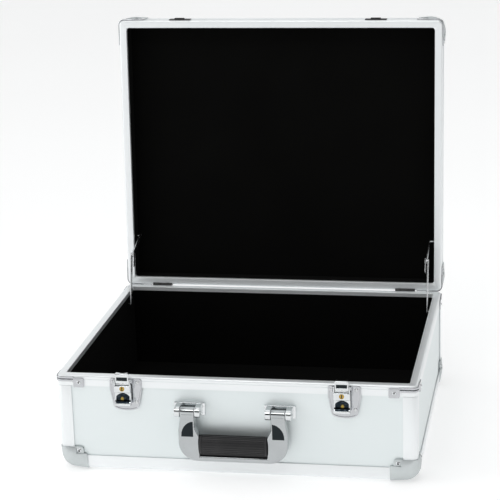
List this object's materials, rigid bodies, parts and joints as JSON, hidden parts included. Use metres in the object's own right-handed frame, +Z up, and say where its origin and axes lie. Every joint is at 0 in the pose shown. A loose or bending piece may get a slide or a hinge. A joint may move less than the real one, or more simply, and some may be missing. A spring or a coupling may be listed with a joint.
{
  "type": "top case",
  "caption": "Rectangular aluminium-framed hard case: shallow hinged lid on folding stays, ball corners, two key-locked draw latches, folding carrying handle, black lined inside.",
  "frame": {"origin": "centre of the bottom panel's outer face, 1.8 mm above the lower edge of the bottom frame", "axes": "+X to the right seen from the front, -Y to the front where the handle and latches are, +Z up from the bottom to the rim; the lid stands open at the back"},
  "size_m": [0.466, 0.4751, 0.5194],
  "materials": {
    "laminate_panel": "bright satin laminate skin",
    "anodised_profile": "satin anodised extrusion",
    "cast_corner": "bright plated casting",
    "bright_fitting": "polished plated steel",
    "black_lining": "matt black cloth over board",
    "black_rubber": "ribbed moulded grip",
    "brass_lock": "polished brass",
    "stay_steel": "bright drawn steel"
  },
  "bodies": {
    "base": {"base_bottom_panel": "laminate_panel", "base_front_panel": "laminate_panel", "base_back_panel": "laminate_panel", "base_left_panel": "laminate_panel", "base_right_panel": "laminate_panel", "base_edge_frame": "anodised_profile", "base_rim_frame": "anodised_profile", "base_lining": "black_lining", "base_corner_post_front_left": "anodised_profile", "base_corner_post_front_right": "anodised_profile", "base_corner_post_back_left": "anodised_profile", "base_corner_post_back_right": "anodised_profile", "base_ball_corner_front_left": "cast_corner", "base_ball_corner_front_right": "cast_corner", "base_ball_corner_back_left": "cast_corner", "base_ball_corner_back_right": "cast_corner", "base_rim_corner_front_left": "bright_fitting", "base_rim_corner_front_right": "bright_fitting", "base_rim_corner_back_left": "bright_fitting", "base_rim_corner_back_right": "bright_fitting", "handle_mount_left": "bright_fitting", "handle_mount_right": "bright_fitting", "handle_pin_left": "stay_steel", "handle_pin_right": "stay_steel", "latch_plate_left": "bright_fitting", "latch_plate_right": "bright_fitting", "hinge_base_leaf_left": "cast_corner", "hinge_base_leaf_right": "cast_corner"},
    "lid": {"lid_top_panel": "laminate_panel", "lid_front_panel": "laminate_panel", "lid_back_panel": "laminate_panel", "lid_left_panel": "laminate_panel", "lid_right_panel": "laminate_panel", "lid_edge_frame": "anodised_profile", "lid_rim_frame": "anodised_profile", "lid_lining": "black_lining", "lid_ball_corner_front_left": "cast_corner", "lid_ball_corner_front_right": "cast_corner", "lid_ball_corner_back_left": "cast_corner", "lid_ball_corner_back_right": "cast_corner", "lid_rim_corner_front_left": "bright_fitting", "lid_rim_corner_front_right": "bright_fitting", "lid_rim_corner_back_left": "bright_fitting", "lid_rim_corner_back_right": "bright_fitting", "latch_keeper_left": "bright_fitting", "latch_keeper_right": "bright_fitting", "hinge_lid_leaf_left": "cast_corner", "hinge_lid_leaf_right": "cast_corner"},
    "handle": {"handle_bail": "bright_fitting", "handle_grip": "black_rubber"},
    "lever_left": {"latch_lever_left": "bright_fitting"},
    "hook_left": {"latch_hook_left": "bright_fitting"},
    "lock_left": {"lock_cylinder_left": "brass_lock"},
    "stay_lower_left": {"stay_lower_left": "stay_steel"},
    "stay_upper_left": {"stay_upper_left": "stay_steel"},
    "lever_right": {"latch_lever_right": "bright_fitting"},
    "hook_right": {"latch_hook_right": "bright_fitting"},
    "lock_right": {"lock_cylinder_right": "brass_lock"},
    "stay_lower_right": {"stay_lower_right": "stay_steel"},
    "stay_upper_right": {"stay_upper_right": "stay_steel"}
  },
  "joints": [
    {"name": "lid_hinge", "type": "hinge", "parent": "base", "child": "lid", "pos_m": [0, 0.193, 0.126], "axis": [1, 0, 0], "range_deg": [0, 93.4]},
    {"name": "handle_swing", "type": "hinge", "parent": "base", "child": "handle", "pos_m": [0, -0.207, 0.0872], "axis": [-1, 0, 0], "range_deg": [0, 90]},
    {"name": "latch_lever_left_turn", "type": "hinge", "parent": "base", "child": "lever_left", "pos_m": [-0.142, -0.2023, 0.1236], "axis": [-1, 0, 0], "range_deg": [0, 100]},
    {"name": "latch_hook_left_turn", "type": "hinge", "parent": "lever_left", "child": "hook_left", "pos_m": [-0.142, -0.2012, 0.1192], "axis": [1, 0, 0], "range_deg": [0, 80]},
    {"name": "lock_left_turn", "type": "hinge", "parent": "lever_left", "child": "lock_left", "pos_m": [-0.142, -0.201, 0.1134], "axis": [0, -1, 0], "range_deg": [0, 90]},
    {"name": "stay_base_pivot_left", "type": "hinge", "parent": "base", "child": "stay_lower_left", "pos_m": [-0.2139, 0.142, 0.1115], "axis": [1, 0, 0], "range_deg": [0, 93.4]},
    {"name": "stay_lid_pivot_left", "type": "hinge", "parent": "lid", "child": "stay_upper_left", "pos_m": [-0.2139, 0.20993, 0.19512], "axis": [-1, 0, 0], "range_deg": [0, 93.4]},
    {"name": "latch_lever_right_turn", "type": "hinge", "parent": "base", "child": "lever_right", "pos_m": [0.137, -0.2023, 0.1236], "axis": [-1, 0, 0], "range_deg": [0, 100]},
    {"name": "latch_hook_right_turn", "type": "hinge", "parent": "lever_right", "child": "hook_right", "pos_m": [0.137, -0.2012, 0.1192], "axis": [1, 0, 0], "range_deg": [0, 80]},
    {"name": "lock_right_turn", "type": "hinge", "parent": "lever_right", "child": "lock_right", "pos_m": [0.137, -0.201, 0.1134], "axis": [0, -1, 0], "range_deg": [0, 90]},
    {"name": "stay_base_pivot_right", "type": "hinge", "parent": "base", "child": "stay_lower_right", "pos_m": [0.2139, 0.142, 0.1115], "axis": [1, 0, 0], "range_deg": [0, 93.4]},
    {"name": "stay_lid_pivot_right", "type": "hinge", "parent": "lid", "child": "stay_upper_right", "pos_m": [0.2139, 0.20993, 0.19512], "axis": [-1, 0, 0], "range_deg": [0, 93.4]}
  ],
  "couplings": [
    {"joint": "latch_hook_left_turn", "follows": "latch_lever_left_turn", "ratio": 0.8},
    {"joint": "stay_base_pivot_left", "follows": "lid_hinge", "ratio": 1},
    {"joint": "stay_lid_pivot_left", "follows": "lid_hinge", "ratio": 1},
    {"joint": "latch_hook_right_turn", "follows": "latch_lever_right_turn", "ratio": 0.8},
    {"joint": "stay_base_pivot_right", "follows": "lid_hinge", "ratio": 1},
    {"joint": "stay_lid_pivot_right", "follows": "lid_hinge", "ratio": 1}
  ]
}
